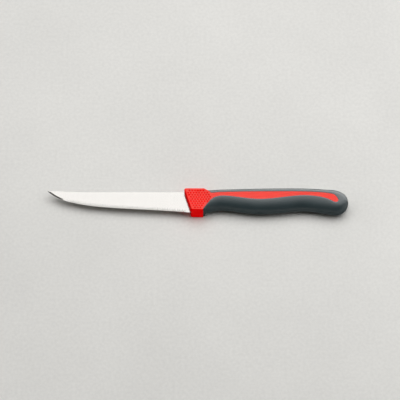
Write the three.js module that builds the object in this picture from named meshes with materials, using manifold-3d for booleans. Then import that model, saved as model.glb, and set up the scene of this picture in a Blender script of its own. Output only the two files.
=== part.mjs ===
// Serrated vegetable knife: a stamped steel blade whose tang runs into a hard moulded core, and a soft
// grip moulded round that core. The core carries the finger guard and shows as a tongue on both sides of
// the grip.
//
// Millimetres. The knife lies on its side: +X runs from the point to the butt, +Y from the edge to the
// spine and +Z up from the table. While it is drawn, X = 0 is the guard's front at the spine, Y = 0 the
// blade's spine and Z = 0 the middle of the blade. At the end it is set on Z = 0, centred on X and Y.
import * as THREE from "three";
import { mergeVertices } from "three/addons/utils/BufferGeometryUtils.js";
import Module from "manifold-3d";

const wasm = await Module();
wasm.setup();

// Blade
const BLADE_LENGTH = 110; // heel to point
const BLADE_HEIGHT = 17.5; // spine to edge at the heel
const BLADE_THICKNESS = 1.2;
const EDGE_THICKNESS = 0.2; // left by the grind before the teeth are cut
const GRIND_SHARE = 0.85; // share of the blade's height that is ground thin
const TIP_THICKNESS = 0.9; // at the point
const TIP_TAPER = 45; // length over which the blade thins towards the point
const TIP_RISE = 1.05; // point above the straight spine
const SWEEP_LENGTH = 33; // length of spine that rises to the point
const EDGE_RUN = 55.6; // edge curve's handle at the heel, along the blade
const EDGE_RISE = 5.2; // the same handle, towards the spine
const BELLY_RUN = 17.4; // edge curve's handle at the point, along the blade
const BELLY_DROP = 16.8; // the same handle, away from the spine

// Teeth: round flutes ground across one side of the edge
const TOOTH_PITCH = 1.9;
const TOOTH_BITE = 0.45; // depth of each gap in the edge line
const FLUTE_HEIGHT = 2.6; // how far a flute runs up the blade's side
const FLUTE_RADIUS = 2;
const FLUTE_OVERRUN = 3; // length of the flute's cutter, in flute heights
const PLAIN_HEEL = 4.6; // edge without teeth at the guard
const PLAIN_TIP = 7; // edge without teeth at the point

// Tang
const ROOT_DEPTH = 2; // full blade height inside the guard
const TANG_DROP = 3.2; // tang's upper edge below the spine
const TANG_WIDTH = 7.5;
const TANG_LENGTH = 80; // from the guard's front
const TANG_HOLE = 4; // diameter
const TANG_HOLE_START = 26; // first hole from the guard's front
const TANG_HOLE_PITCH = 20;
const TANG_HOLE_COUNT = 3;

// Guard
const HANDLE_THICKNESS = 13;
const GUARD_RAKE = 13.5; // degrees, spine side nearer the point
const GUARD_RISE = 0.45; // above the blade's spine
const GUARD_DROP = 0.8; // below the blade's heel
const GUARD_TOP = 17; // length along the spine, to the joint with the grip
const GUARD_FOOT = 14.1; // rear of the foot from the guard's front at the spine
const GUARD_EDGE = 0.8; // radius along its edges
const GUARD_CORNER = 1.2; // radius of its outline's corners
const JOINT_SLANT = 2.8; // how far the joint with the grip leans back over the spine band
const JOINT_BLEND = 2.4; // length over which the guard's edge opens into the grip's round spine

// Thumb panel on both sides of the guard: a shallow dish with rows of dimples
const DISH_X = 13; // deepest point
const DISH_Y = -7.5;
const DISH_REAR = 6.8; // from the deepest point to the rim, towards the butt
const DISH_FRONT = 11;
const DISH_SPINE = 6.6;
const DISH_FOOT = 9;
const DISH_DEPTH = 0.6;
const DIMPLE_PITCH = 2.1;
const DIMPLE_DIAMETER = 1.3;
const DIMPLE_FLOOR = 0.6; // diameter at the bottom
const DIMPLE_DEPTH = 0.4;
const DIMPLE_ANGLE = 60; // degrees between the lines of dimples
const PANEL_MARGIN = 1.3; // plain border round the dimples

// Handle, from the guard to the butt. x runs from the guard's front and setback from the butt. spine is
// the height above the blade's spine, height runs from there to the belly, band is the grip above the
// tongue, and tongue is the width of the core that shows on the side. lean sets the outline on from the
// tongue's edge.
const HANDLE_LENGTH = 125.4;
const NECK = { x: 27, spine: 0.4, height: 15.5, band: 3.5, tongue: 3.1 };
const SWELL = { x: 58, spine: 1.4, height: 19.8, band: 3.95, tongue: 6.4 };
const WAIST = { x: 92.4, spine: 1.6, height: 17.6, band: 4.25, tongue: 3.1 };
const HOOK = { setback: 17.4, spine: 0.65, height: 18.85, band: 4.35, tongue: 4.4 };
const SHOULDER = { setback: 11, lean: 2.5, spine: 0, band: 5.2 };
const SPINE_ROUND = 0.6; // how round the section is along the spine, 1 for a full round
const JOINT_BAND = 3.9; // grip above the tongue at the guard
const BUTT_BAND = 7.8; // grip behind the tongue
const TONGUE_END = 1.9; // radius of the tongue's end
const TONGUE_END_Y = -9.7; // its centre
const BUTT_FROM = -110; // degrees, where the round butt begins at the belly
const BUTT_TO = 35; // degrees, where it ends below the spine

// Finger notch behind the guard: two places where the grip's edge (face) and its lower outline (rim) pass,
// with their heights above the guard's foot
const NOTCH = { x: 20.8, face: 9.55, rim: 2.1 };
const NOTCH_FOOT = { x: 16.2, face: 4, rim: 1.1 };
const FOOT_LIP = 0.9; // grip behind the guard's foot

// Fits between the mouldings
const GRIP_WALL = 2.2; // soft grip over the core
const CLEARANCE = 0.25;
const KEY_DIAMETER = 2.8; // grip's keys through the core
const KEY_START = 46; // first key from the guard's front
const KEY_PITCH = 12;
const KEY_COUNT = 3;
const KEY_Y = -13.4;
const KEY_BITE = 0.4; // how far a key's end reaches into the grip's wall

// Smoothness
const STATION_STEPS = 4; // points from one handle station to the next
const BUTT_STEPS = 4; // stations round the butt
const OUTSIDE_LAYERS = 6; // layers from the middle of the handle to its side
const INSIDE_LAYERS = 3; // the same for the body inside the grip
const CORNER_STEPS = 3;
const EDGE_STEPS = 40;
const ROUND_STEPS = 12;
const DISH_RINGS = 4;
const DISH_STEPS = 32;
const WELD = 1e-5; // points nearer than this are one

const degrees = THREE.MathUtils.degToRad;
const rakeSlope = Math.tan(degrees(GUARD_RAKE));
const halfThickness = HANDLE_THICKNESS / 2;
const footY = -BLADE_HEIGHT - GUARD_DROP;
const frontX = (y) => -y * rakeSlope;
const at = (x, y) => new THREE.Vector2(x, y);

// Solids

// Turns a closed geometry into a solid that can be joined and cut.
function solid(geometry) {
  const bare = new THREE.BufferGeometry();
  bare.setAttribute("position", geometry.getAttribute("position"));
  bare.setIndex(geometry.getIndex());
  const merged = mergeVertices(bare, WELD);
  const corners = Array.from(merged.getIndex().array);
  const triangles = [];
  for (let i = 0; i < corners.length; i += 3) {
    const [a, b, c] = corners.slice(i, i + 3);
    if (a !== b && b !== c && c !== a) triangles.push(a, b, c);
  }
  return new wasm.Manifold(
    new wasm.Mesh({
      numProp: 3,
      vertProperties: new Float32Array(merged.getAttribute("position").array),
      triVerts: new Uint32Array(triangles),
    }),
  );
}

function surface(body) {
  const mesh = body.getMesh();
  const geometry = new THREE.BufferGeometry();
  geometry.setAttribute("position", new THREE.BufferAttribute(mesh.vertProperties, 3));
  geometry.setIndex(new THREE.BufferAttribute(mesh.triVerts, 1));
  geometry.computeVertexNormals();
  return geometry;
}

// A closed form through a stack of outlines, lowest first, each with the same number of points.
function stacked(layers) {
  const count = layers[0].outline.length;
  const top = (layers.length - 1) * count;
  const positions = layers.flatMap(({ z, outline }) => outline.flatMap((point) => [point.x, point.y, z]));
  const triangles = [];
  for (let start = 0; start < top; start += count) {
    for (let i = 0; i < count; i += 1) {
      const here = start + i;
      const next = start + ((i + 1) % count);
      triangles.push(here, next, next + count, here, next + count, here + count);
    }
  }
  for (const [a, b, c] of THREE.ShapeUtils.triangulateShape(layers[0].outline, [])) triangles.push(a, c, b);
  for (const [a, b, c] of THREE.ShapeUtils.triangulateShape(layers.at(-1).outline, [])) {
    triangles.push(top + a, top + b, top + c);
  }
  const geometry = new THREE.BufferGeometry();
  geometry.setAttribute("position", new THREE.Float32BufferAttribute(positions, 3));
  geometry.setIndex(triangles);
  return geometry;
}

const slab = (outline, thickness) =>
  solid(stacked([{ z: -thickness / 2, outline }, { z: thickness / 2, outline }]));

// A round bar through the thickness of the handle.
function bar(x, y, diameter, length) {
  const geometry = new THREE.CylinderGeometry(diameter / 2, diameter / 2, length, ROUND_STEPS);
  return solid(geometry.rotateX(Math.PI / 2).translate(x, y, 0));
}

// Moves every point of a counterclockwise outline outwards.
function grown(outline, distance) {
  return outline.map((point, i) => {
    const before = point.clone().sub(outline.at(i - 1)).normalize();
    const after = outline[(i + 1) % outline.length].clone().sub(point).normalize();
    const along = before.clone().add(after).normalize();
    const reach = distance / along.dot(after);
    return at(point.x + along.y * reach, point.y - along.x * reach);
  });
}

// Points of an arc from one angle to another, in degrees, with both its ends.
function arc(centre, radius, from, to, steps) {
  return Array.from({ length: steps + 1 }, (_, i) => {
    const angle = degrees(THREE.MathUtils.lerp(from, to, i / steps));
    return at(centre.x + radius * Math.cos(angle), centre.y + radius * Math.sin(angle));
  });
}

// Blade

const heel = at(frontX(-BLADE_HEIGHT), -BLADE_HEIGHT);
const tip = at(heel.x - BLADE_LENGTH, TIP_RISE);
const spineY = (x) => TIP_RISE * (1 - THREE.MathUtils.smoothstep(x, tip.x, tip.x + SWEEP_LENGTH));
const edgeCurve = new THREE.CubicBezierCurve(
  tip,
  at(tip.x + BELLY_RUN, tip.y - BELLY_DROP),
  at(heel.x - EDGE_RUN, heel.y + EDGE_RISE),
  heel,
);

// The blank's outline, from the point along the edge, round the tang and back along the spine. grind
// moves the edge by that share of the way to the spine, in line with the guard at the heel. spare lets the
// outline out all round.
function blankOutline(grind, spare) {
  const edge = edgeCurve.getPoints(EDGE_STEPS).slice(1);
  const ground = edge.map((point) => {
    const x = tip.x * (1 - (point.x - tip.x) / BLADE_LENGTH);
    return point.clone().lerp(at(x, spineY(x)), grind);
  });
  const tangTop = -TANG_DROP;
  const tangBottom = tangTop - TANG_WIDTH;
  const tangRound = at(TANG_LENGTH - TANG_WIDTH / 2, (tangTop + tangBottom) / 2);
  const spineX = (i) => THREE.MathUtils.lerp(ROOT_DEPTH, tip.x, i / EDGE_STEPS);
  const outline = [
    at(tip.x, tip.y),
    ...ground,
    at(heel.x + ROOT_DEPTH, heel.y),
    at(heel.x + ROOT_DEPTH, tangBottom),
    ...arc(tangRound, TANG_WIDTH / 2, -90, 90, ROUND_STEPS),
    at(ROOT_DEPTH, tangTop),
    ...Array.from({ length: EDGE_STEPS }, (_, i) => at(spineX(i), spineY(spineX(i)))),
  ];
  return spare ? grown(outline, spare) : outline;
}

const tangHoles = Array.from({ length: TANG_HOLE_COUNT }, (_, i) =>
  at(TANG_HOLE_START + i * TANG_HOLE_PITCH, -TANG_DROP - TANG_WIDTH / 2),
);

// A flute's cutter lies across the edge, tilted so that it runs out on the blade's upper side.
function fluteCutter(place) {
  const edgePoint = edgeCurve.getPointAt(place);
  const along = edgeCurve.getTangentAt(place);
  const inwards = new THREE.Vector3(-along.y, along.x, 0);
  const up = new THREE.Vector3(0, 0, 1);
  const flank = (BLADE_THICKNESS - EDGE_THICKNESS) / 2 / (GRIND_SHARE * BLADE_HEIGHT);
  const tilt = Math.atan2(EDGE_THICKNESS + FLUTE_HEIGHT * flank, FLUTE_HEIGHT - TOOTH_BITE);
  const axis = inwards.clone().multiplyScalar(Math.cos(tilt)).addScaledVector(up, Math.sin(tilt));
  const lift = inwards.clone().multiplyScalar(-Math.sin(tilt)).addScaledVector(up, Math.cos(tilt));
  const centre = new THREE.Vector3(edgePoint.x, edgePoint.y, -EDGE_THICKNESS / 2)
    .addScaledVector(inwards, TOOTH_BITE)
    .addScaledVector(lift, FLUTE_RADIUS);
  const frame = new THREE.Matrix4().makeBasis(axis.clone().cross(lift), axis, lift).setPosition(centre);
  const length = FLUTE_HEIGHT * FLUTE_OVERRUN;
  const geometry = new THREE.CylinderGeometry(FLUTE_RADIUS, FLUTE_RADIUS, length, ROUND_STEPS);
  return solid(geometry.applyMatrix4(frame));
}

function bladeGeometry() {
  const ground = blankOutline(GRIND_SHARE, 0);
  const full = blankOutline(0, 0);
  const form = stacked([
    { z: -BLADE_THICKNESS / 2, outline: ground },
    { z: -EDGE_THICKNESS / 2, outline: full },
    { z: EDGE_THICKNESS / 2, outline: full },
    { z: BLADE_THICKNESS / 2, outline: ground },
  ]);
  const points = form.getAttribute("position");
  for (let i = 0; i < points.count; i += 1) {
    const fromTip = THREE.MathUtils.smoothstep(points.getX(i), tip.x, tip.x + TIP_TAPER);
    points.setZ(i, points.getZ(i) * THREE.MathUtils.lerp(TIP_THICKNESS / BLADE_THICKNESS, 1, fromTip));
  }
  let blade = solid(form);
  for (const hole of tangHoles) blade = blade.subtract(bar(hole.x, hole.y, TANG_HOLE, BLADE_THICKNESS * 2));
  const length = edgeCurve.getLength();
  const teeth = Math.floor((length - PLAIN_HEEL - PLAIN_TIP) / TOOTH_PITCH);
  for (let i = 0; i < teeth; i += 1) {
    blade = blade.subtract(fluteCutter((length - PLAIN_HEEL - (i + 0.5) * TOOTH_PITCH) / length));
  }
  return surface(blade);
}

// Handle form: core and grip share one outside, flush where they meet

// A station of the handle pairs a point of its flat side (face) with one half way through its thickness
// (rim). round is 1 where the section between them is a quarter ellipse and 0 where it is a block with
// rounded edges.
function handleStations() {
  const end = at(HANDLE_LENGTH - BUTT_BAND - TONGUE_END, TONGUE_END_Y);
  const place = ({ x, setback }) => x ?? HANDLE_LENGTH - setback;
  const above = (station) => ({
    face: at(place(station), station.spine - station.band),
    rim: at(place(station) + (station.lean ?? 0), station.spine),
    round: SPINE_ROUND,
  });
  const below = (station) => ({
    face: at(place(station), station.spine - station.band - station.tongue),
    rim: at(place(station), station.spine - station.height),
    round: 1,
  });
  const notch = ({ x, face, rim }) => ({ face: at(x, footY + face), rim: at(x, footY + rim), round: 1 });
  const buttRim = arc(end, TONGUE_END + BUTT_BAND, BUTT_FROM, BUTT_TO, BUTT_STEPS);
  const butt = arc(end, TONGUE_END, BUTT_FROM, BUTT_TO, BUTT_STEPS).map((face, i) => ({
    face,
    rim: buttRim[i],
    round: THREE.MathUtils.lerp(1, SPINE_ROUND, i / BUTT_STEPS),
  }));
  return [
    {
      face: at(GUARD_FOOT, footY + GUARD_EDGE),
      rim: at(GUARD_FOOT + FOOT_LIP, footY + NOTCH_FOOT.rim),
      round: 0,
    },
    notch(NOTCH_FOOT),
    notch(NOTCH),
    ...[NECK, SWELL, WAIST, HOOK].map(below),
    ...butt,
    ...[SHOULDER, HOOK, WAIST, SWELL, NECK].map(above),
    {
      face: at(GUARD_TOP + JOINT_SLANT, GUARD_RISE - JOINT_BAND),
      rim: at(GUARD_TOP, GUARD_RISE),
      round: 1,
    },
    {
      face: at(GUARD_TOP - JOINT_BLEND, GUARD_RISE - GUARD_EDGE),
      rim: at(GUARD_TOP - JOINT_BLEND, GUARD_RISE),
      round: 0,
    },
  ];
}

// A smooth line through the stations' points.
function throughStations(points) {
  const curve = new THREE.CatmullRomCurve3(
    points.map((point) => new THREE.Vector3(point.x, point.y, 0)),
    false,
    "centripetal",
  );
  return curve.getPoints((points.length - 1) * STATION_STEPS).map((point) => at(point.x, point.y));
}

// The guard's outline from its spine round the front and along its foot, with rounded corners.
function guardFront() {
  const top = at(frontX(GUARD_RISE), GUARD_RISE);
  const bottom = at(frontX(footY), footY);
  const inset = (corner, side) => {
    const turn = side > 0 ? 90 - GUARD_RAKE : 90 + GUARD_RAKE;
    const back = GUARD_CORNER / Math.tan(degrees((180 - turn) / 2));
    return at(corner.x + back, corner.y - side * GUARD_CORNER);
  };
  const front = 180 + GUARD_RAKE;
  return [
    ...arc(inset(top, 1), GUARD_CORNER, 90, front, CORNER_STEPS),
    ...arc(inset(bottom, -1), GUARD_CORNER, front, 270, CORNER_STEPS),
    at(GUARD_FOOT, footY),
  ];
}

const stations = handleStations();
const notchPoint = 2 * STATION_STEPS; // the notch is the third station
const jointPoint = (stations.length - 2) * STATION_STEPS; // the joint is the last but one
const gripFace = throughStations(stations.map((station) => station.face));
const gripRim = throughStations(stations.map((station) => station.rim));
const gripRound = gripRim.map((_, i) => {
  const from = Math.min(Math.floor(i / STATION_STEPS), stations.length - 2);
  return THREE.MathUtils.lerp(stations[from].round, stations[from + 1].round, i / STATION_STEPS - from);
});
const guardRim = guardFront();
const handleRim = [...gripRim, ...guardRim];
const handleFace = [...gripFace, ...grown(handleRim, -GUARD_EDGE).slice(gripRim.length)];
const handleRound = [...gripRound, ...guardRim.map(() => 0)];

// The handle's outline at a height z, for a form whose sides lie at half above and below the middle.
function handleSection(face, rim, round, half, z) {
  const over = Math.max(0, Math.abs(z) - (half - GUARD_EDGE));
  const block = 1 - (GUARD_EDGE - Math.sqrt(Math.max(0, GUARD_EDGE ** 2 - over ** 2))) / GUARD_EDGE;
  const ellipse = Math.sqrt(Math.max(0, 1 - (z / half) ** 2));
  return face.map((point, i) => point.clone().lerp(rim[i], THREE.MathUtils.lerp(block, ellipse, round[i])));
}

function handleForm(face, rim, round, half, steps) {
  const layers = Array.from({ length: 2 * steps + 1 }, (_, i) => {
    const z = half * Math.sin((Math.PI / 2) * (i / steps - 1));
    return { z, outline: handleSection(face, rim, round, half, z) };
  });
  return solid(stacked(layers));
}

const outsideForm = () => handleForm(handleFace, handleRim, handleRound, halfThickness, OUTSIDE_LAYERS);

// Core

// What shows of the core, in plan: guard and tongue. It reaches past the handle's outside round the guard.
function coreOutline() {
  const over = HANDLE_THICKNESS;
  return [
    at(GUARD_FOOT, footY - over),
    ...gripFace.slice(0, jointPoint + 1),
    at(GUARD_TOP, GUARD_RISE),
    at(GUARD_TOP - JOINT_SLANT, GUARD_RISE + JOINT_BAND),
    at(frontX(GUARD_RISE) - over, GUARD_RISE + JOINT_BAND),
    at(frontX(GUARD_RISE) - over, footY - over),
  ];
}

// The stiff body inside the grip: the handle's form less the grip's wall. spare lets it out all round.
function innerForm(spare) {
  const wall = GRIP_WALL - spare;
  const rim = gripRim.map((point, i) => {
    const reach = point.distanceTo(gripFace[i]);
    return gripFace[i].clone().lerp(point, Math.max(0, reach - wall) / reach);
  });
  return handleForm(gripFace, rim, gripRim.map(() => 1), halfThickness - wall, INSIDE_LAYERS);
}

const keys = (diameter, spare) =>
  Array.from({ length: KEY_COUNT }, (_, i) => {
    const length = HANDLE_THICKNESS - 2 * GRIP_WALL + 2 * KEY_BITE + 2 * spare;
    return bar(KEY_START + i * KEY_PITCH, KEY_Y, diameter, length);
  });

// The dish is an oval bowl whose deepest point lies nearer the tongue.
const dishReach = (x, y) => at(x > 0 ? DISH_REAR : DISH_FRONT, y > 0 ? DISH_SPINE : DISH_FOOT);
const dishFloor = (share) => -DISH_DEPTH * (1 - share ** 2);

// Cuts the dish into the side of the guard that faces up (1) or down (-1).
function dishCutter(side) {
  const profile = Array.from({ length: DISH_RINGS + 1 }, (_, i) => {
    const share = i / DISH_RINGS;
    return at(share, dishFloor(share));
  });
  profile.push(at(1, DISH_DEPTH), at(0, DISH_DEPTH));
  const geometry = new THREE.LatheGeometry(profile, DISH_STEPS).rotateX((side * Math.PI) / 2);
  const points = geometry.getAttribute("position");
  for (let i = 0; i < points.count; i += 1) {
    const reach = dishReach(points.getX(i), points.getY(i));
    points.setXY(i, points.getX(i) * reach.x, points.getY(i) * reach.y);
  }
  return solid(geometry.translate(DISH_X, DISH_Y, side * halfThickness));
}

function inside(point, outline) {
  let within = false;
  outline.forEach((a, i) => {
    const b = outline.at(i - 1);
    if (a.y > point.y === b.y > point.y) return;
    if (point.x < a.x + ((point.y - a.y) * (b.x - a.x)) / (b.y - a.y)) within = !within;
  });
  return within;
}

// Staggered rows of dimples over the guard's flat side, inside its plain border.
function dimplePlaces() {
  const flat = [...gripFace.slice(0, notchPoint + 1), ...handleFace.slice(jointPoint)];
  const panel = grown(flat, GUARD_EDGE - PANEL_MARGIN);
  const rowPitch = DIMPLE_PITCH * Math.sin(degrees(DIMPLE_ANGLE));
  const reach = Math.ceil(BLADE_HEIGHT / rowPitch);
  const places = [];
  for (let row = -reach; row <= reach; row += 1) {
    for (let column = -reach; column <= reach; column += 1) {
      const stagger = row % 2 === 0 ? 0 : 0.5;
      const place = at(DISH_X + (column + stagger) * DIMPLE_PITCH, DISH_Y + row * rowPitch);
      if (inside(place, panel)) places.push(place);
    }
  }
  return places;
}

function dimpleCutter(place, side) {
  const out = place.clone().sub(at(DISH_X, DISH_Y));
  const share = Math.min(1, out.divide(dishReach(out.x, out.y)).length());
  const top = halfThickness + dishFloor(share);
  const slope = (DIMPLE_DIAMETER - DIMPLE_FLOOR) / 2 / DIMPLE_DEPTH;
  const mouth = DIMPLE_DIAMETER / 2 + slope * DIMPLE_DEPTH;
  const geometry = new THREE.CylinderGeometry(mouth, DIMPLE_FLOOR / 2, DIMPLE_DEPTH * 2, ROUND_STEPS / 2);
  return solid(geometry.rotateX((side * Math.PI) / 2).translate(place.x, place.y, side * top));
}

function coreGeometry() {
  let core = outsideForm().intersect(slab(coreOutline(), HANDLE_THICKNESS * 2)).add(innerForm(0));
  let tangSlot = slab(blankOutline(0, CLEARANCE), BLADE_THICKNESS + 2 * CLEARANCE);
  for (const hole of tangHoles) {
    tangSlot = tangSlot.subtract(bar(hole.x, hole.y, TANG_HOLE - 2 * CLEARANCE, HANDLE_THICKNESS));
  }
  core = core.subtract(tangSlot);
  for (const key of keys(KEY_DIAMETER + 2 * CLEARANCE, HANDLE_THICKNESS)) core = core.subtract(key);
  for (const side of [1, -1]) {
    core = core.subtract(dishCutter(side));
    for (const place of dimplePlaces()) core = core.subtract(dimpleCutter(place, side));
  }
  return surface(core);
}

// Grip

function gripGeometry() {
  const window = slab(grown(coreOutline(), CLEARANCE), HANDLE_THICKNESS * 2);
  let grip = outsideForm().subtract(window).subtract(innerForm(CLEARANCE));
  for (const key of keys(KEY_DIAMETER, 0)) grip = grip.add(key);
  return surface(grip);
}

// Assembly

const steel = new THREE.MeshStandardMaterial({ color: "#d9d7d2", roughness: 0.28, metalness: 1 });
const hardRed = new THREE.MeshStandardMaterial({ color: "#e0201c", roughness: 0.4, metalness: 0 });
const softGrey = new THREE.MeshStandardMaterial({ color: "#4a5557", roughness: 0.75, metalness: 0 });

function piece(name, geometry, material) {
  const mesh = new THREE.Mesh(geometry, material);
  mesh.name = name;
  return mesh;
}

const knife = new THREE.Group();
knife.add(
  piece("blade", bladeGeometry(), steel),
  piece("handle_core", coreGeometry(), hardRed),
  piece("soft_grip", gripGeometry(), softGrey),
);
const box = new THREE.Box3().setFromObject(knife);
const middle = box.getCenter(new THREE.Vector3());
knife.position.set(-middle.x, -middle.y, -box.min.z);

export default knife;
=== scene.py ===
import math
import bmesh
import bpy
import numpy as np
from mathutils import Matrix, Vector
from mathutils.geometry import delaunay_2d_cdt


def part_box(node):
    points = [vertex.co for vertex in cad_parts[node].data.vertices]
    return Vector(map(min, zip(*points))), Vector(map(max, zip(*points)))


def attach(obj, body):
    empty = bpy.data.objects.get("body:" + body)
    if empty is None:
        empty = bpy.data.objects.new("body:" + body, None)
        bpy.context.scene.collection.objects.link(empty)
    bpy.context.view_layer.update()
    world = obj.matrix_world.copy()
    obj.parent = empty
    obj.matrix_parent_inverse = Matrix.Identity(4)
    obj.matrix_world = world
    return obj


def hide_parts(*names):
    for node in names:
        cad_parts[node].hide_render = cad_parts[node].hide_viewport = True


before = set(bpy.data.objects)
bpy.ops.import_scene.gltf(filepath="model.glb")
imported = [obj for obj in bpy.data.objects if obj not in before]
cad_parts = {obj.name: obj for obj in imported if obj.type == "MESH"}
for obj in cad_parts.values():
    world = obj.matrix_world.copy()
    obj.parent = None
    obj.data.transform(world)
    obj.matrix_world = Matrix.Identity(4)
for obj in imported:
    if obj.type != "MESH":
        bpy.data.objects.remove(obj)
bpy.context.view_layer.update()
scene = bpy.context.scene
scene.view_settings.view_transform = "Standard"
mm = 0.001

# the camera looks down on the knife from its edge side
view = dict(aim=(0.0019, 0.00563, 0.0), elevation=62.0, lens=220.0, sensor=36.0, width=0.3086)


def addCamera():
    data = bpy.data.cameras.new("photoCamera")
    data.lens = view["lens"]
    data.sensor_width = view["sensor"]
    camera = bpy.data.objects.new("photoCamera", data)
    scene.collection.objects.link(camera)
    lift = math.radians(view["elevation"])
    away = view["width"] * view["lens"] / view["sensor"]
    aim = Vector(view["aim"])
    camera.location = aim + away * Vector((0, -math.cos(lift), math.sin(lift)))
    camera.rotation_euler = (aim - camera.location).to_track_quat("-Z", "Y").to_euler()
    scene.camera = camera


addCamera()
print("camera set")


# lines and loops of the drawing
def lerp(a, b, t):
    return a + (b - a) * t


def smoothStep(x, low, high):
    t = np.clip((x - low) / (high - low), 0, 1)
    return t * t * (3 - 2 * t)


def quarterSine(count):
    return np.sin(np.linspace(0, math.pi / 2, count))


def arc(centre, radius, start, end, steps):
    angles = np.radians(np.linspace(start, end, steps + 1))
    return np.asarray(centre) + radius * np.stack([np.cos(angles), np.sin(angles)], 1)


def throughPoints(points, steps):
    # smooth line that passes through each point, spaced by the root of the gaps
    points = np.asarray(points, float)
    run = np.vstack([2 * points[0] - points[1], points, 2 * points[-1] - points[-2]])
    line = []
    for i in range(len(points) - 1):
        p0, p1, p2, p3 = run[i:i + 4]
        d0, d1, d2 = (math.sqrt(np.linalg.norm(b - a)) for a, b in ((p0, p1), (p1, p2), (p2, p3)))
        m1 = ((p1 - p0) / d0 - (p2 - p0) / (d0 + d1) + (p2 - p1) / d1) * d1
        m2 = ((p2 - p1) / d1 - (p3 - p1) / (d1 + d2) + (p3 - p2) / d2) * d1
        square = 3 * (p2 - p1) - 2 * m1 - m2
        cube = 2 * (p1 - p2) + m1 + m2
        t = np.linspace(0, 1, steps, endpoint=False)[:, None]
        line.append(p1 + m1 * t + square * t ** 2 + cube * t ** 3)
    line.append(points[-1:])
    return np.vstack(line)


def insetLoop(loop, distance):
    # moves a counterclockwise loop inwards, a sharp corner by twice the distance at most
    before = loop - np.roll(loop, 1, 0)
    after = np.roll(loop, -1, 0) - loop
    before /= np.linalg.norm(before, axis=1)[:, None]
    after /= np.linalg.norm(after, axis=1)[:, None]
    along = before + after
    along /= np.linalg.norm(along, axis=1)[:, None]
    reach = distance / np.maximum(0.5, (along * after).sum(1))
    return loop + np.stack([-along[:, 1], along[:, 0]], 1) * reach[:, None]


def insideLoop(points, loop):
    within = np.zeros(len(points), bool)
    for a, b in zip(loop, np.roll(loop, 1, 0)):
        crosses = (a[1] > points[:, 1]) != (b[1] > points[:, 1])
        with np.errstate(divide="ignore", invalid="ignore"):
            edgeX = a[0] + (points[:, 1] - a[1]) * (b[0] - a[0]) / (b[1] - a[1])
        within ^= crosses & (points[:, 0] < edgeX)
    return within


def ringTube(rings, closeEnds=True):
    # joins closed rings with the same number of points into one skin
    count = len(rings[0])
    points = np.vstack(rings)
    faces = []
    for r in range(len(rings) - 1):
        for i in range(count):
            j = (i + 1) % count
            faces.append((r * count + i, r * count + j, (r + 1) * count + j, (r + 1) * count + i))
    if closeEnds:
        faces.append(tuple(range(count))[::-1])
        faces.append(tuple(range((len(rings) - 1) * count, len(rings) * count)))
    return points, faces


# from the drawing in millimetres to pieces in metres
welding = dict(gap=2e-7, sliver=1e-7)


def toFrame(point):
    # shift is set with the blade's sizes
    return tuple(((np.asarray(point, float) + shift) * mm).tolist())


def weld(piece):
    work = bmesh.new()
    work.from_mesh(piece.data)
    bmesh.ops.remove_doubles(work, verts=work.verts, dist=welding["gap"])
    bmesh.ops.dissolve_degenerate(work, edges=work.edges, dist=welding["sliver"])
    bmesh.ops.recalc_face_normals(work, faces=work.faces)
    work.to_mesh(piece.data)
    work.free()


def finishShading(piece, sharp):
    piece.data.shade_smooth()
    piece.data.set_sharp_from_angle(angle=math.radians(sharp))


def makePiece(name, points, faces, material, sharp, faceMarks=None):
    mesh = bpy.data.meshes.new(name)
    mesh.from_pydata([toFrame(p) for p in points], [], faces)
    mesh.materials.append(material)
    for label, marks in (faceMarks or {}).items():
        mesh.attributes.new(label, "BOOLEAN", "FACE").data.foreach_set("value", marks)
    piece = bpy.data.objects.new(name, mesh)
    scene.collection.objects.link(piece)
    weld(piece)
    finishShading(piece, sharp)
    return piece


# node helpers shared by geometry and shader trees
def nodeMaker(tree):
    def make(kind, values=None, **settings):
        node = tree.nodes.new(kind)
        for key, value in settings.items():
            setattr(node, key, value)
        for key, value in (values or {}).items():
            if isinstance(value, bpy.types.NodeSocket):
                tree.links.new(value, node.inputs[key])
            else:
                node.inputs[key].default_value = value
        return node
    return make


def calc(make, operation, *values, clamp=False):
    node = make("ShaderNodeMath", dict(enumerate(values)), operation=operation, use_clamp=clamp)
    return node.outputs[0]


def addVectors(make, a, b):
    return make("ShaderNodeVectorMath", {0: a, 1: b}, operation="ADD").outputs[0]


def scaled(make, vector, amount):
    return make("ShaderNodeVectorMath", {0: vector, "Scale": amount}, operation="SCALE").outputs[0]


def ranged(make, value, given, wanted):
    return make("ShaderNodeMapRange", {
        "Value": value, "From Min": given[0], "From Max": given[1],
        "To Min": wanted[0], "To Max": wanted[1],
    }).outputs[0]


def noise(make, vector, scale, detail):
    return make("ShaderNodeTexNoise", {"Vector": vector, "Scale": scale, "Detail": detail}).outputs[0]


socketKinds = {float: "NodeSocketFloat", int: "NodeSocketInt", tuple: "NodeSocketVector"}


def newGeometryTree(name, sizes):
    tree = bpy.data.node_groups.new(name, "GeometryNodeTree")
    face = tree.interface
    face.new_socket("Geometry", in_out="INPUT", socket_type="NodeSocketGeometry")
    for label, value in sizes.items():
        face.new_socket(label, in_out="INPUT", socket_type=socketKinds[type(value)])
    face.new_socket("Material", in_out="INPUT", socket_type="NodeSocketMaterial")
    face.new_socket("Geometry", in_out="OUTPUT", socket_type="NodeSocketGeometry")
    make = nodeMaker(tree)
    return tree, make, make("NodeGroupInput").outputs


def cutAway(make, get, instances, overlapping):
    # takes the cutters out of the piece, and ends the tree
    cutters = make("GeometryNodeRealizeInstances", {"Geometry": instances})
    cut = make("GeometryNodeMeshBoolean", {
        "Mesh 1": get["Geometry"], "Mesh 2": cutters.outputs[0], "Self Intersection": overlapping,
    }, operation="DIFFERENCE", solver="EXACT")
    whole = make("GeometryNodeRealizeInstances", {"Geometry": cut.outputs["Mesh"]})
    painted = make("GeometryNodeSetMaterial", {"Geometry": whole.outputs[0], "Material": get["Material"]})
    make("NodeGroupOutput", {"Geometry": painted.outputs[0]})


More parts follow.
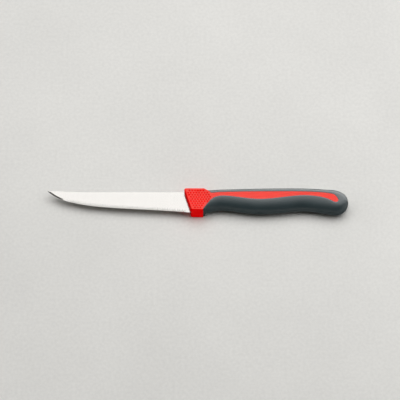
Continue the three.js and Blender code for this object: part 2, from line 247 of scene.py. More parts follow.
def runTree(piece, tree, sizes, material, sharp):
    modifier = piece.modifiers.new(tree.name, "NODES")
    modifier.node_group = tree
    given = {**sizes, "Material": material}
    for item in tree.interface.items_tree:
        if item.in_out == "INPUT" and item.name in given:
            modifier[item.identifier] = given[item.name]
    graph = bpy.context.evaluated_depsgraph_get()
    made = bpy.data.meshes.new_from_object(piece.evaluated_get(graph), depsgraph=graph)
    piece.modifiers.remove(modifier)
    piece.data = made
    weld(piece)
    finishShading(piece, sharp)


# shader effects that more than one finish uses
def newShaderGroup(name, inputs, outputs):
    group = bpy.data.node_groups.new(name, "ShaderNodeTree")
    for label, kind in inputs.items():
        group.interface.new_socket(label, in_out="INPUT", socket_type="NodeSocket" + kind)
    for label, kind in outputs.items():
        group.interface.new_socket(label, in_out="OUTPUT", socket_type="NodeSocket" + kind)
    make = nodeMaker(group)
    return group, make, make("NodeGroupInput").outputs


skinPattern = dict(driftScale=70.0, driftDetail=3.0, fineDetail=2.0, fineShare=0.45, middle=0.5)


def makeMouldedSkin():
    # fine eroded texture that a mould leaves, with slow drifts of tone
    p = skinPattern
    group, make, get = newShaderGroup("mouldedSkin", {
        "Vector": "Vector", "Color": "Color", "Tone": "Float", "Grain Size": "Float",
        "Grain Height": "Float", "Roughness": "Float", "Roughness Drift": "Float",
    }, {"Color": "Color", "Roughness": "Float", "Normal": "Vector"})
    slow = noise(make, get["Vector"], p["driftScale"], p["driftDetail"])
    fine = noise(make, get["Vector"], calc(make, "DIVIDE", 1.0, get["Grain Size"]), p["fineDetail"])
    slowAway = calc(make, "SUBTRACT", slow, p["middle"])
    fineAway = calc(make, "SUBTRACT", fine, p["middle"])
    both = calc(make, "MULTIPLY_ADD", fineAway, p["fineShare"], slowAway)
    tone = calc(make, "MULTIPLY_ADD", both, get["Tone"], 1.0)
    color = make("ShaderNodeHueSaturation", {"Color": get["Color"], "Value": tone})
    rough = calc(make, "MULTIPLY_ADD", both, get["Roughness Drift"], get["Roughness"], clamp=True)
    bump = make("ShaderNodeBump", {"Height": fine, "Distance": get["Grain Height"]})
    make("NodeGroupOutput", {"Color": color.outputs[0], "Roughness": rough, "Normal": bump.outputs[0]})
    return group


markPattern = dict(patchDetail=4.0, patchRange=(0.48, 0.7), turn=0.35, stretch=0.12,
                   scratchDetail=2.0, scratchRange=(0.66, 0.74))


def makeHandlingMarks():
    # faint rubbed patches and short hairline scratches: 1 where the surface is marked
    p = markPattern
    group, make, get = newShaderGroup("handlingMarks", {
        "Vector": "Vector", "Patch Size": "Float", "Scratch Size": "Float",
    }, {"Patch": "Float", "Scratch": "Float"})
    patchScale = calc(make, "DIVIDE", 1.0, get["Patch Size"])
    patch = noise(make, get["Vector"], patchScale, p["patchDetail"])
    turned = make("ShaderNodeMapping", {
        "Vector": get["Vector"], "Rotation": (0, 0, p["turn"]), "Scale": (p["stretch"], 1, 1),
    })
    scratchScale = calc(make, "DIVIDE", 1.0, get["Scratch Size"])
    scratch = noise(make, turned.outputs[0], scratchScale, p["scratchDetail"])
    make("NodeGroupOutput", {
        "Patch": ranged(make, patch, p["patchRange"], (0, 1)),
        "Scratch": ranged(make, scratch, p["scratchRange"], (0, 1)),
    })
    return group


mouldedSkin = makeMouldedSkin()
handlingMarks = makeHandlingMarks()


def newMaterial(name):
    material = bpy.data.materials.new(name)
    material.use_nodes = True
    material.node_tree.nodes.clear()
    make = nodeMaker(material.node_tree)
    return material, make, make("ShaderNodeTexCoord").outputs


def finishMaterial(make, sockets):
    shader = make("ShaderNodeBsdfPrincipled", sockets)
    make("ShaderNodeOutputMaterial", {"Surface": shader.outputs[0]})


# the red's level colour is a paler red painted on level faces, a painted sheen that stands in for gloss, so
# its own specular is kept low
redFinish = dict(
    color=(0.97, 0.0008, 0.0015, 1), level=(0.97, 0.082, 0.066, 1), roughness=0.18, sideRoughness=0.8,
    specular=0.04, tone=0.1, grain=0.0003, height=0.000008, drift=0.25, patchSize=0.018, patchEffect=-0.05,
    glow=0.25, glowDepth=0.002,
)
greyFinish = dict(
    color=(0.022, 0.036, 0.040, 1), level=(0.022, 0.036, 0.040, 1), roughness=0.42, sideRoughness=0.95,
    specular=0.85, tone=0.35, grain=0.00035, height=0.00003, drift=0.25, patchSize=0.026, patchEffect=-0.06,
    glow=0.0, glowDepth=0.001,
)
faceDirection = dict(level=(0.955, 0.994), top=(0.25, 0.75))  # how upright a face's normal is; the level range masks the painted sheen, the top range sets the roughness
glowRadius = (1.0, 0.15, 0.1)  # red light goes deepest


def makeMoulding(name, finish):
    material, make, coords = newMaterial(name)
    # level faces paler, sides rougher than the top: this stands in for the sheen seen in the photo
    normal = make("ShaderNodeSeparateXYZ", {0: coords["Normal"]})
    upright = calc(make, "ABSOLUTE", normal.outputs["Z"])
    level = ranged(make, upright, faceDirection["level"], (0, 1))
    smoother = ranged(make, upright, faceDirection["top"], (finish["sideRoughness"], finish["roughness"]))
    # sockets 6 and 7 are the two colours: the own colour, and the paler level colour painted on level faces
    # as a painted sheen
    body = make("ShaderNodeMix", {0: level, 6: finish["color"], 7: finish["level"]}, data_type="RGBA")
    skin = make("ShaderNodeGroup", {
        "Vector": coords["Object"], "Color": body.outputs[2], "Tone": finish["tone"],
        "Grain Size": finish["grain"], "Grain Height": finish["height"],
        "Roughness": smoother, "Roughness Drift": finish["drift"],
    }, node_tree=mouldedSkin).outputs
    marks = make("ShaderNodeGroup", {
        "Vector": coords["Object"], "Patch Size": finish["patchSize"],
    }, node_tree=handlingMarks).outputs
    effect = finish["patchEffect"]
    rubbed = calc(make, "MULTIPLY_ADD", marks["Patch"], effect, skin["Roughness"], clamp=True)
    finishMaterial(make, {
        "Base Color": skin["Color"], "Roughness": rubbed, "Normal": skin["Normal"],
        "Specular IOR Level": finish["specular"], "Subsurface Weight": finish["glow"],
        "Subsurface Radius": glowRadius, "Subsurface Scale": finish["glowDepth"],
    })
    return material


steelFinish = dict(
    color=(0.55, 0.537, 0.516, 1), tone=(0.94, 1.05), roughness=(0.10, 0.22), lines=(2600, 90, 90),
    lineDetail=3.0, lineHeight=0.000004, patchSize=0.022, patchEffect=0.04,
    scratchSize=0.0006, scratchEffect=0.05,
)


def makeSteel():
    f = steelFinish
    material, make, coords = newMaterial("satinSteel")
    stretched = make("ShaderNodeMapping", {"Vector": coords["Object"], "Scale": f["lines"]})
    lines = noise(make, stretched.outputs[0], 1.0, f["lineDetail"])
    marks = make("ShaderNodeGroup", {
        "Vector": coords["Object"], "Patch Size": f["patchSize"], "Scratch Size": f["scratchSize"],
    }, node_tree=handlingMarks).outputs
    tone = ranged(make, lines, (0, 1), f["tone"])
    color = make("ShaderNodeHueSaturation", {"Color": f["color"], "Value": tone})
    rough = ranged(make, lines, (0, 1), f["roughness"])
    rubbed = calc(make, "MULTIPLY_ADD", marks["Patch"], f["patchEffect"], rough)
    worn = calc(make, "MULTIPLY_ADD", marks["Scratch"], f["scratchEffect"], rubbed)
    bump = make("ShaderNodeBump", {"Height": lines, "Distance": f["lineHeight"]})
    finishMaterial(make, {
        "Base Color": color.outputs[0], "Roughness": worn, "Normal": bump.outputs[0], "Metallic": 1.0,
    })
    return material


hardRed = makeMoulding("hardRed", redFinish)
softGrey = makeMoulding("softGrey", greyFinish)
satinSteel = makeSteel()
print("finishes made")


# drawing: x = 0 at the guard's front, y = 0 at the blade's spine, z = 0 in the middle of the blade
setOut = dict(rake=13.5, guardRise=0.45)  # lean of the guard's front, and its rise above the spine

# blade: rings round its section from the point to the end of the tang
bladeShape = dict(
    length=110.0, height=17.5, thickness=1.2, edge=0.2, grindShare=0.85, grindSoft=0.3, spineRound=0.1,
    heelHandle=(-55.6, 5.2), tipHandle=(17.4, -16.8), tipRise=1.05, sweep=33.0,
    tipThickness=0.75, tipTaper=45.0, tipShare=0.6, slimHeight=4.0,
    tipBevel=(1.6, 0.9), tipBevelRun=(10.5, 13.5), tipBevelShare=0.75, tipFlank=0.01, tipHone=0.6,
    root=2.0, shoulderDraft=0.05, tangDrop=3.2, tangWidth=7.5, tangLength=80.0, tangEnd=0.04, tangSteps=9,
    columns=220, firstColumn=0.004, flatRows=(0.35, 0.7, 1), grindRows=6, sharp=9,
)
slope = math.tan(math.radians(setOut["rake"]))
heel = np.array([bladeShape["height"] * slope, -bladeShape["height"]])
tip = np.array([heel[0] - bladeShape["length"], bladeShape["tipRise"]])
bladeLow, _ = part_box("blade")
coreLow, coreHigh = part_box("handle_core")
shift = np.array([
    bladeLow.x / mm - tip[0],
    coreHigh.y / mm - setOut["guardRise"],
    (coreLow.z + coreHigh.z) / 2 / mm,
])


def edgePoints(t):
    t = np.asarray(t)[:, None]
    a, d = tip, heel
    b = tip + bladeShape["tipHandle"]
    c = heel + bladeShape["heelHandle"]
    return a * (1 - t) ** 3 + 3 * b * t * (1 - t) ** 2 + 3 * c * t ** 2 * (1 - t) + d * t ** 3


def bladeRing(x, spine, ground, edge, thin, honed, bevelHeight):
    # upper side from spine to edge, then the lower side back; near the point a steeper bevel ends the flank
    b = bladeShape
    full = b["thickness"] / 2 * thin
    fine = b["edge"] / 2 * thin
    room = min(1.0, (spine - edge) / b["slimHeight"])
    bevel = b["spineRound"] * room
    inBevel = bevel * 0.3  # middle of a quarter round
    soft = b["grindSoft"] * room
    knee = edge + min(bevelHeight, b["tipBevelShare"] * (ground - edge))
    straight = lerp(full, fine, (ground - knee) / (ground - edge))
    kneeSide = lerp(straight, full - b["tipFlank"] * (ground - knee), honed)
    drop = (full - kneeSide) / (ground - knee)
    rows = [(spine, full - bevel), (spine - inBevel, full - inBevel), (spine - bevel, full)]
    rows += [(lerp(spine - bevel, ground + soft, t), full) for t in b["flatRows"]]
    rows += [(ground, full - drop * soft * 0.25)]  # middle of the soft line where the grind starts
    rows += [(y, full - drop * (ground - y)) for y in np.linspace(ground - soft, knee, b["grindRows"])]
    rows += [(edge, fine * (1 - b["tipHone"] * honed))]
    upper = [(x, y, z) for y, z in rows]
    lower = [(x, y, -z) for y, z in reversed(rows)]
    return np.array(upper + lower)


def makeBlade():
    b = bladeShape
    edges = edgePoints(np.linspace(b["firstColumn"], 1, b["columns"]))
    thinTip = b["tipThickness"] / b["thickness"]
    rings = []
    for x, edge in [*edges, (heel[0] + b["root"], heel[1])]:
        spine = b["tipRise"] * (1 - smoothStep(x, tip[0], tip[0] + b["sweep"]))
        thin = lerp(thinTip, 1, smoothStep(x, tip[0], tip[0] + b["tipTaper"]))
        grind = (spine - edge) * b["grindShare"]
        honed = 1 - smoothStep(x - tip[0], *b["tipBevelRun"])
        bevelHeight = lerp(*b["tipBevel"], min(1, (x - tip[0]) / b["tipBevelRun"][0]))
        rings.append(bladeRing(x, spine, edge + grind, edge, thin, honed, bevelHeight))
    point = np.tile([tip[0], tip[1], 0.0], (len(rings[0]), 1))
    point[:, 2] = rings[0][:, 2] * b["tipShare"]
    rings.insert(0, point)
    # the shoulder steps in to the tang, which has a round end
    tangTop = -b["tangDrop"]
    tangLow = tangTop - b["tangWidth"]
    middle = (tangTop + tangLow) / 2
    radius = b["tangWidth"] / 2
    last = rings[-1]
    share = (last[:, 1] - last[:, 1].min()) / np.ptp(last[:, 1])
    side = np.where(last[:, 2] > 0, 1, -1) * b["thickness"] / 2
    tangStart = heel[0] + b["root"] + b["shoulderDraft"]
    roundEnd = b["tangLength"] - radius * (1 - quarterSine(b["tangSteps"]))
    for x in [tangStart, *roundEnd]:
        over = max(0, x - (b["tangLength"] - radius)) / radius
        narrow = max(b["tangEnd"], math.sqrt(max(0, 1 - over ** 2)))
        y = middle + (lerp(tangLow, tangTop, share) - middle) * narrow
        rings.append(np.stack([np.full(len(y), x), y, side], 1))
    points, faces = ringTube(rings)
    return makePiece("bladeSkin", points, faces, satinSteel, b["sharp"])


# teeth: round flutes ground into the upper side along the edge
toothShape = dict(
    pitch=1.9, bite=0.45, height=2.6, radius=1.6, plainHeel=4.6, plainTip=12.8,
    leadCount=5.0, leadRise=0.3, cutterLength=3, sides=64, pathSteps=160,
)


def makeFluteTree(sizes):
    # round cutters set out along the edge, then taken out of the blade
    tree, make, get = newGeometryTree("edgeFlutes", sizes)
    path = make("GeometryNodeCurvePrimitiveBezierSegment", {
        "Start": get["Tip"], "Start Handle": get["Tip Handle"],
        "End Handle": get["Heel Handle"], "End": get["Heel"], "Resolution": get["Path Steps"],
    }, mode="POSITION")
    whole = make("GeometryNodeCurveLength", {"Curve": path.outputs[0]})
    until = calc(make, "SUBTRACT", whole.outputs[0], get["Plain Heel"])
    # sockets 4 and 5 are the start and the end by length
    part = make("GeometryNodeTrimCurve", {
        "Curve": path.outputs[0], 4: get["Plain Tip"], 5: until,
    }, mode="LENGTH")
    spots = make("GeometryNodeCurveToPoints", {
        "Curve": part.outputs[0], "Length": get["Pitch"],
    }, mode="LENGTH")
    run = make("ShaderNodeSeparateXYZ", {0: spots.outputs["Tangent"]})
    back = calc(make, "MULTIPLY", run.outputs["Y"], -1.0)
    inward = make("ShaderNodeCombineXYZ", {"X": back, "Y": run.outputs["X"]}).outputs[0]
    cosine = calc(make, "COSINE", get["Tilt"])
    sine = calc(make, "SINE", get["Tilt"])

    def lean(across, upwards):
        raised = make("ShaderNodeCombineXYZ", {"Z": upwards})
        return addVectors(make, scaled(make, inward, across), raised.outputs[0])

    axis = lean(cosine, sine)
    lift = lean(calc(make, "MULTIPLY", sine, -1.0), cosine)
    # the first cutters next to the point stand higher, so the flutes start gradually
    index = make("GeometryNodeInputIndex")
    lead = ranged(make, index.outputs[0], (0.0, get["Lead Count"]), (get["Lead Rise"], 0.0))
    rise = scaled(make, lift, calc(make, "ADD", get["Radius"], lead))
    offset = addVectors(make, scaled(make, inward, get["Bite"]), rise)
    moved = make("GeometryNodeSetPosition", {"Geometry": spots.outputs["Points"], "Offset": offset})
    turn = make("FunctionNodeAxesToRotation", {
        "Primary Axis": axis, "Secondary Axis": spots.outputs["Tangent"],
    }, primary_axis="Z", secondary_axis="X")
    cutter = make("GeometryNodeMeshCylinder", {
        "Vertices": get["Sides"], "Radius": get["Radius"], "Depth": get["Length"],
    })
    flutes = make("GeometryNodeInstanceOnPoints", {
        "Points": moved.outputs[0], "Instance": cutter.outputs["Mesh"], "Rotation": turn.outputs[0],
    })
    cutAway(make, get, flutes.outputs[0], overlapping=True)
    return tree


def cutTeeth(blade):
    b, t = bladeShape, toothShape
    flankSlope = (b["thickness"] - b["edge"]) / 2 / (b["grindShare"] * b["height"])
    tilt = math.atan2(b["edge"] + t["height"] * flankSlope, t["height"] - t["bite"])
    under = -b["edge"] / 2
    sizes = {
        "Tip": toFrame((*tip, under)), "Tip Handle": toFrame((*(tip + b["tipHandle"]), under)),
        "Heel": toFrame((*heel, under)), "Heel Handle": toFrame((*(heel + b["heelHandle"]), under)),
        "Lead Count": t["leadCount"], "Lead Rise": t["leadRise"] * mm,
        "Plain Tip": t["plainTip"] * mm, "Plain Heel": t["plainHeel"] * mm,
        "Pitch": t["pitch"] * mm, "Bite": t["bite"] * mm, "Radius": t["radius"] * mm,
        "Length": t["height"] * t["cutterLength"] * mm, "Tilt": tilt,
        "Sides": t["sides"], "Path Steps": t["pathSteps"],
    }
    runTree(blade, makeFluteTree(sizes), sizes, satinSteel, b["sharp"])


blade = makeBlade()
cutTeeth(blade)
print("blade made,", len(blade.data.polygons), "faces")


# handle: each station pairs a point of the flat side with one half way through the thickness
handleShape = dict(
    thickness=13.0, length=125.4, guardDrop=0.8, guardTop=17.0, guardFoot=14.1, guardEdge=0.8,
    guardCorner=1.2, jointSlant=2.8, jointBlend=2.4, jointBand=3.9, footLip=0.9, footStep=1.1,
    notchFoot=dict(x=16.2, face=-14.3, rim=-17.2),
    notch=dict(x=20.8, face=-8.75, rim=-16.2),
    neck=dict(x=27.0, spine=0.4, height=15.5, band=3.5, tongue=3.1),
    swell=dict(x=58.0, spine=1.4, height=19.8, band=3.95, tongue=6.4),
    waist=dict(x=92.4, spine=1.6, height=17.6, band=4.25, tongue=3.1),
    hook=dict(x=108.0, spine=0.65, height=18.85, band=4.35, tongue=4.4),
    shoulder=dict(x=114.4, lean=2.5, spine=0.0, band=5.2), spineRound=0.6,
    tongueEnd=1.9, tongueEndY=-9.7,
    buttBand=7.8, buttFrom=-110.0, buttTo=35.0, buttRound=(1.0, 1.0, 0.75, 0.3, 0.4),
    gripWall=2.2, seamGap=0.03, seamDrop=0.04, seamWidth=0.14, seamRamp=4, stationSteps=14, roundSteps=8,
)
half = handleShape["thickness"] / 2
footY = -bladeShape["height"] - handleShape["guardDrop"]


def handleStations():
    s = handleShape

    def above(p):
        return (p["x"], p["spine"] - p["band"]), (p["x"] + p.get("lean", 0), p["spine"]), s["spineRound"]

    def below(p):
        return (p["x"], p["spine"] - p["band"] - p["tongue"]), (p["x"], p["spine"] - p["height"]), 1

    def notch(p):
        return (p["x"], p["face"]), (p["x"], p["rim"]), 1

    end = (s["length"] - s["buttBand"] - s["tongueEnd"], s["tongueEndY"])
    turns = len(s["buttRound"]) - 1
    buttFace = arc(end, s["tongueEnd"], s["buttFrom"], s["buttTo"], turns)
    buttRim = arc(end, s["tongueEnd"] + s["buttBand"], s["buttFrom"], s["buttTo"], turns)
    rise, blend = setOut["guardRise"], s["guardTop"] - s["jointBlend"]
    footFace = (s["guardFoot"], footY + s["guardEdge"])
    footRim = (s["guardFoot"] + s["footLip"], footY + s["footStep"])
    return [
        (footFace, footRim, 0),
        notch(s["notchFoot"]), notch(s["notch"]),
        *[below(s[k]) for k in ("neck", "swell", "waist", "hook")],
        *zip(map(tuple, buttFace), map(tuple, buttRim), s["buttRound"]),
        *[above(s[k]) for k in ("shoulder", "hook", "waist", "swell", "neck")],
        ((s["guardTop"] + s["jointSlant"], rise - s["jointBand"]), (s["guardTop"], rise), 1),
        ((blend, rise - s["guardEdge"]), (blend, rise), 0),
    ]


stations = handleStations()
steps = handleShape["stationSteps"]
lineFace = throughPoints([s[0] for s in stations], steps)
lineRim = throughPoints([s[1] for s in stations], steps)
lineRound = np.interp(np.arange(len(lineFace)) / steps, range(len(stations)), [s[2] for s in stations])
joint = (len(stations) - 2) * steps


def blockShare(z):
    # 1 at the full outline, 0 on the flat side: a rounded edge
    over = np.maximum(0, abs(z) - (half - handleShape["guardEdge"])) / handleShape["guardEdge"]
    return math.sqrt(max(0, 1 - over ** 2))


def ellipseShare(z, reach):
    return math.sqrt(max(0, 1 - (z / reach) ** 2))


def outsideAt(face, rim, rounded, z):
    share = lerp(blockShare(z), ellipseShare(z, half), rounded)
    return lerp(face, rim, share[:, None])


def innerRim(spare):
    # the stiff body inside the grip
    reach = np.linalg.norm(lineRim - lineFace, axis=1)
    share = np.maximum(0, reach - handleShape["gripWall"] + spare) / reach
    return lerp(lineFace, lineRim, share[:, None])


def guardCorners(radius):
    s = handleShape
    front = 180 + setOut["rake"]

    def corner(y, side):
        turn = 90 - side * setOut["rake"]
        back = s["guardCorner"] / math.tan(math.radians((180 - turn) / 2))
        return (-y * slope + back, y - side * s["guardCorner"])

    return np.vstack([
        arc(corner(setOut["guardRise"], 1), radius, 90, front, s["roundSteps"]),
        arc(corner(footY, -1), radius, front, 270, s["roundSteps"]),
    ])


guardRim = guardCorners(handleShape["guardCorner"])
guardFace = guardCorners(handleShape["guardCorner"] - handleShape["guardEdge"])


# core: a stack of outlines through the thickness, closed by the two flat sides with their thumb panels
panelShape = dict(
    centre=(11.0, -8.2), dish=(13.0, -7.5), rear=6.8, front=11.0, spine=6.6, foot=9.0, dishDepth=0.6,
    margin=0.9, pitch=2.1, rowAngle=60.0, diameter=1.45, depth=0.62, spread=24, sides=16,
)
coreMesh = dict(
    filletSteps=9, bulgeSteps=22, edgings=(1, 2), fieldCount=22, fieldGap=0.7, fieldMargin=0.6,
    borderGap=0.35, nearest=1e-4, snap=1e-6, sharp=32,
)


def coreOutline(z):
    innerHalf = half - handleShape["gripWall"]
    deep = ellipseShare(min(abs(z), innerHalf), innerHalf)
    tongue = lerp(lineFace, innerRim(0), deep)[:joint + 1]
    spine = outsideAt(lineFace[joint:], lineRim[joint:], lineRound[joint:], z)
    front = outsideAt(guardFace, guardRim, np.zeros(len(guardRim)), z)
    foot = [(handleShape["guardFoot"], lerp(footY + handleShape["guardEdge"], footY, blockShare(z)))]
    return np.vstack([tongue, spine, front, foot])


def dishAt(points):
    # an oval bowl whose deepest point lies nearer the tongue
    p = panelShape
    x, y = (points - np.array(p["dish"])).T
    along = x / np.where(x > 0, p["rear"], p["front"])
    across = y / np.where(y > 0, p["spine"], p["foot"])
    return p["dishDepth"] * np.clip(1 - (along ** 2 + across ** 2), 0, 1)


def capTriangles(loop, field, marked):
    # fills the flat side; the triangles inside the marked loop carry the dimples
    spots = [Vector(p) for p in np.vstack([loop, field, marked])]
    first = len(loop) + len(field)
    panel = list(range(first, first + len(marked)))
    rims = [list(range(len(loop))), panel]
    points, _, faces, origin, _, _ = delaunay_2d_cdt(spots, [], rims, 0, coreMesh["snap"], True)
    points = np.array([tuple(p) for p in points])
    faces = np.array(faces)
    faces = faces[insideLoop(points[faces].mean(1), loop)]
    loopSpot = [min(ids, default=first) for ids in origin]
    return points, faces, loopSpot, insideLoop(points[faces].mean(1), marked)


def seamDrops(count):
    # the rim of the flat side sinks a little where it meets the grip
    spot = np.arange(count)
    ramp = np.clip(np.minimum(spot, joint - spot) / handleShape["seamRamp"], 0, 1)
    return handleShape["seamDrop"] * ramp


def withoutRepeats(loop):
    return [i for i in range(len(loop)) if np.linalg.norm(loop[i] - loop[i - 1]) > coreMesh["nearest"]]


def makeCore():
    s, m = handleShape, coreMesh
    fillet = half - s["guardEdge"] * (1 - quarterSine(m["filletSteps"]))
    bulge = half * quarterSine(m["bulgeSteps"])
    upper = np.concatenate([fillet, bulge, [half - s["gripWall"]]])
    upper = np.unique(np.round(upper, 4))  # equal heights count once
    heights = np.concatenate([-upper[:0:-1], upper])
    loop = coreOutline(half)
    drops = seamDrops(len(loop))
    rings = [np.column_stack([coreOutline(z), np.clip(z, drops - half, half - drops)]) for z in heights]
    points, faces = ringTube(rings, closeEnds=False)
    keep = withoutRepeats(loop)
    loop, drops = loop[keep], drops[keep]
    edging = np.vstack([insetLoop(loop, s["seamWidth"] * k) for k in m["edgings"]])
    spread = np.arange(-m["fieldCount"], m["fieldCount"] + 1) * m["fieldGap"]
    field = np.array([(x, y) for x in spread for y in spread]) + panelShape["centre"]
    field = field[insideLoop(field, insetLoop(loop, m["fieldMargin"]))]
    notchEnd = 2 * steps  # the line has come round the foot to the notch
    marked = np.vstack([lineFace[:notchEnd + 1], lineFace[joint:], guardFace])
    marked = insetLoop(marked[withoutRepeats(marked)], panelShape["margin"])
    # points close to the panel's border would make slivers
    within = insideLoop(field, insetLoop(marked, m["borderGap"]))
    around = insideLoop(field, insetLoop(marked, -m["borderGap"]))
    field = field[within | ~around]
    flat, triangles, loopSpot, onPanel = capTriangles(loop, np.vstack([edging, field]), marked)
    depth = dishAt(flat)
    for i, spot in enumerate(loopSpot):
        if spot < len(loop):
            flat[i] = loop[spot]
            depth[i] = drops[spot]
    start = len(points)
    top, bottom = np.column_stack([flat, half - depth]), np.column_stack([flat, depth - half])
    points = np.vstack([points, top, bottom])
    marks = [False] * len(faces) + list(onPanel) * 2
    faces += [tuple(start + i for i in f) for f in triangles]
    faces += [tuple(start + len(flat) + i for i in reversed(f)) for f in triangles]
    return makePiece("coreSkin", points, faces, hardRed, m["sharp"], {"thumbPanel": marks})


def makeDimpleTree(sizes):
    # round cutters on staggered rows, dropped on both thumb panels
    tree, make, get = newGeometryTree("panelDimples", sizes)
    mark = make("GeometryNodeInputNamedAttribute", {"Name": "thumbPanel"}, data_type="BOOLEAN")
    panel = make("GeometryNodeSeparateGeometry", {
        "Geometry": get["Geometry"], "Selection": mark.outputs[0],
    }, domain="FACE")
    gaps = calc(make, "SUBTRACT", get["Spread"], 1.0)
    grid = make("GeometryNodeMeshGrid", {
        "Size X": calc(make, "MULTIPLY", gaps, get["Pitch"]), "Vertices X": get["Spread"],
        "Size Y": calc(make, "MULTIPLY", gaps, get["Row Pitch"]), "Vertices Y": get["Spread"],
    })
    # every second row moves by half a pitch
    spot = make("GeometryNodeInputPosition").outputs[0]
    split = make("ShaderNodeSeparateXYZ", {0: spot})
    row = calc(make, "DIVIDE", split.outputs["Y"], get["Row Pitch"])
    rowIndex = calc(make, "FLOOR", calc(make, "ADD", row, 0.5))
    odd = calc(make, "FLOORED_MODULO", rowIndex, 2.0)
    stagger = calc(make, "MULTIPLY", odd, calc(make, "MULTIPLY", get["Pitch"], 0.5))
    side = make("ShaderNodeCombineXYZ", {"X": stagger})
    where = addVectors(make, side.outputs[0], get["Centre"])
    rows = make("GeometryNodeSetPosition", {"Geometry": grid.outputs["Mesh"], "Offset": where})
    ball = make("GeometryNodeMeshUVSphere", {
        "Segments": get["Sides"], "Rings": get["Sides"], "Radius": get["Radius"],
    })
    joined = make("GeometryNodeJoinGeometry")
    standOff, rayLength = 0.1, 1.0
    for direction in (-1.0, 1.0):
        ray = make("GeometryNodeRaycast", {
            "Target Geometry": panel.outputs["Selection"], "Ray Length": rayLength,
            "Ray Direction": (0.0, 0.0, direction),
            "Source Position": addVectors(make, spot, (0.0, 0.0, -standOff * direction)),
        })
        up = scaled(make, ray.outputs["Hit Normal"], get["Rise"])
        seat = addVectors(make, ray.outputs["Hit Position"], up)
        kept = make("GeometryNodeSeparateGeometry", {
            "Geometry": rows.outputs[0], "Selection": ray.outputs["Is Hit"],
        }, domain="POINT")
        seated = make("GeometryNodeSetPosition", {"Geometry": kept.outputs["Selection"], "Position": seat})
        balls = make("GeometryNodeInstanceOnPoints", {
            "Points": seated.outputs[0], "Instance": ball.outputs["Mesh"],
        })
        tree.links.new(balls.outputs[0], joined.inputs[0])
    cutAway(make, get, joined.outputs[0], overlapping=False)
    return tree


def cutDimples(core):
    p = panelShape
    radius = (p["diameter"] ** 2 / 4 + p["depth"] ** 2) / (2 * p["depth"])
    rowPitch = p["pitch"] * math.sin(math.radians(p["rowAngle"]))
    sizes = {
        "Centre": toFrame((*p["centre"], -shift[2])), "Spread": p["spread"],
        "Pitch": p["pitch"] * mm, "Row Pitch": rowPitch * mm, "Radius": radius * mm,
        "Rise": (radius - p["depth"]) * mm, "Sides": p["sides"],
    }
    runTree(core, makeDimpleTree(sizes), sizes, hardRed, coreMesh["sharp"])


core = makeCore()
cutDimples(core)
print("core made,", len(core.data.polygons), "faces")


# grip: one band round spine, butt and belly, open on both sides where the tongue shows
gripMesh = dict(outerSteps=49, innerSteps=25, seamShare=0.2, sharp=40)


def makeGrip():
    s = handleShape
    gap = s["seamGap"]
    innerReach = half - s["gripWall"] + gap
    inner = innerRim(gap)
    outerAngles = np.linspace(0, math.pi, gripMesh["outerSteps"])[1:-1]
    innerAngles = np.linspace(math.pi, 0, gripMesh["innerSteps"])
    rings = []
    for i in range(joint + 1):
        face, rim, rounded = lineFace[i], lineRim[i], lineRound[i]
        reach = np.linalg.norm(rim - face)
        out = (rim - face) / reach
        start = face + out * gap
        bank = start + out * min(s["seamWidth"], reach * gripMesh["seamShare"])
        outer = [(*start, half - s["seamDrop"]), (*bank, half)]
        for a in outerAngles:
            z = half * math.cos(a)
            share = lerp(blockShare(z), math.sin(a), rounded)
            outer.append((*lerp(bank, rim, share), z))
        outer += [(*bank, -half), (*start, s["seamDrop"] - half)]
        deepest = inner[i] + out * gap
        back = [(*lerp(start, deepest, math.sin(a)), innerReach * math.cos(a)) for a in innerAngles]
        rings.append(np.array(outer + back))
    lip = rings[0].copy()
    lip[:, 0] = np.minimum(lip[:, 0], s["guardFoot"] + gap)
    rings.insert(0, lip)
    points, faces = ringTube(rings)
    return makePiece("gripSkin", points, faces, softGrey, gripMesh["sharp"])


grip = makeGrip()
print("grip made,", len(grip.data.polygons), "faces")

for piece, node, slot in (
    (blade, "blade", "steel"), (core, "handle_core", "hard_red"), (grip, "soft_grip", "soft_grey"),
):
    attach(piece, "root")
    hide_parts(node)

# table top
floorFinish = dict(
    color=(0.73, 0.725, 0.70, 1), roughness=0.75, specular=0.2, size=3.0, drop=5e-5,
    cloudScale=9.0, cloudDetail=5.0, cloudRoughness=0.6, speckScale=420.0, speckDetail=3.0,
    noiseRange=(0.3, 0.7), toneRange=(0.96, 1.03),
)


def makeFloor():
    f = floorFinish
    material, make, coords = newMaterial("paleStone")
    cloud = make("ShaderNodeTexNoise", {
        "Vector": coords["Object"], "Scale": f["cloudScale"], "Detail": f["cloudDetail"],
        "Roughness": f["cloudRoughness"],
    })
    speck = noise(make, coords["Object"], f["speckScale"], f["speckDetail"])
    cloudTone = ranged(make, cloud.outputs[0], f["noiseRange"], f["toneRange"])
    speckTone = ranged(make, speck, f["noiseRange"], f["toneRange"])
    both = calc(make, "MULTIPLY", cloudTone, speckTone)
    color = make("ShaderNodeHueSaturation", {"Color": f["color"], "Value": both})
    finishMaterial(make, {
        "Base Color": color.outputs[0], "Roughness": f["roughness"], "Specular IOR Level": f["specular"],
    })
    side = f["size"]
    corners = [(x, y, -f["drop"]) for x, y in ((-side, -side), (side, -side), (side, side), (-side, side))]
    mesh = bpy.data.meshes.new("tableTop")
    mesh.from_pydata(corners, [], [(0, 1, 2, 3)])
    mesh.materials.append(material)
    floor = bpy.data.objects.new("tableTop", mesh)
    scene.collection.objects.link(floor)


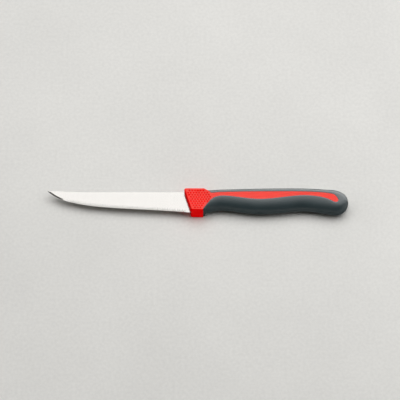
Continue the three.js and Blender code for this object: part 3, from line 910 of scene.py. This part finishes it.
# diffuse lamps only light the surfaces, glossy ones are only seen in reflections
lamps = dict(
    backBox=dict(place=(0.157, 0.631, 1.126), size=(1.3, 1.0), power=6.8, spread="glossy"),
    keyBox=dict(place=(0.179, 0.400, 1.220), size=(1.8, 1.4), power=19.7, spread="diffuse"),
    lowSide=dict(place=(1.122, 0.098, 0.65), size=(0.9, 0.8), power=3.0, spread="all"),
    leftBox=dict(place=(-0.981, 0.173, 0.836), size=(0.8, 0.8), power=2.4, spread="all"),
    frontFill=dict(place=(0.0, -1.3, 0.035), size=(1.6, 0.06), power=4.5, spread="diffuse"),
    topCard=dict(place=(0.0, -0.08, 1.3), size=(0.6, 0.5), power=0.5, spread="glossy"),
    backCard=dict(place=(0.187, 1.061, 0.727), size=(1.4, 0.5), power=14.0, spread="glossy"),
    rightCard=dict(place=(1.071, 0.618, 0.402), size=(0.9, 0.6), power=6.5, spread="glossy"),
)


def addLamp(name, kind):
    data = bpy.data.lights.new(name, "AREA")
    data.shape = "RECTANGLE"
    data.size, data.size_y = kind["size"]
    data.energy = kind["power"]
    lamp = bpy.data.objects.new(name, data)
    lamp.location = kind["place"]
    lamp.rotation_euler = (-Vector(kind["place"])).to_track_quat("-Z", "Y").to_euler()
    lamp.visible_glossy = kind["spread"] != "diffuse"
    lamp.visible_diffuse = kind["spread"] != "glossy"
    scene.collection.objects.link(lamp)


# strength of the room: as light, in mirrors and glass, and as seen by the camera
roomLight = dict(ambient=0.04, mirrored=0.04, backdrop=0.85, warmth=(1.0, 0.9, 0.78, 1))


def addWorld():
    world = bpy.data.worlds.new("studio")
    scene.world = world
    world.use_nodes = True
    world.node_tree.nodes.clear()
    make = nodeMaker(world.node_tree)
    path = make("ShaderNodeLightPath").outputs
    shown = calc(make, "MAXIMUM", path["Is Glossy Ray"], path["Is Transmission Ray"])
    level = ranged(make, shown, (0, 1), (roomLight["ambient"], roomLight["mirrored"]))
    strength = ranged(make, path["Is Camera Ray"], (0, 1), (level, roomLight["backdrop"]))
    back = make("ShaderNodeBackground", {"Color": roomLight["warmth"], "Strength": strength})
    make("ShaderNodeOutputWorld", {"Surface": back.outputs[0]})


makeFloor()
for name, kind in lamps.items():
    addLamp(name, kind)
addWorld()
print("stage and light set")
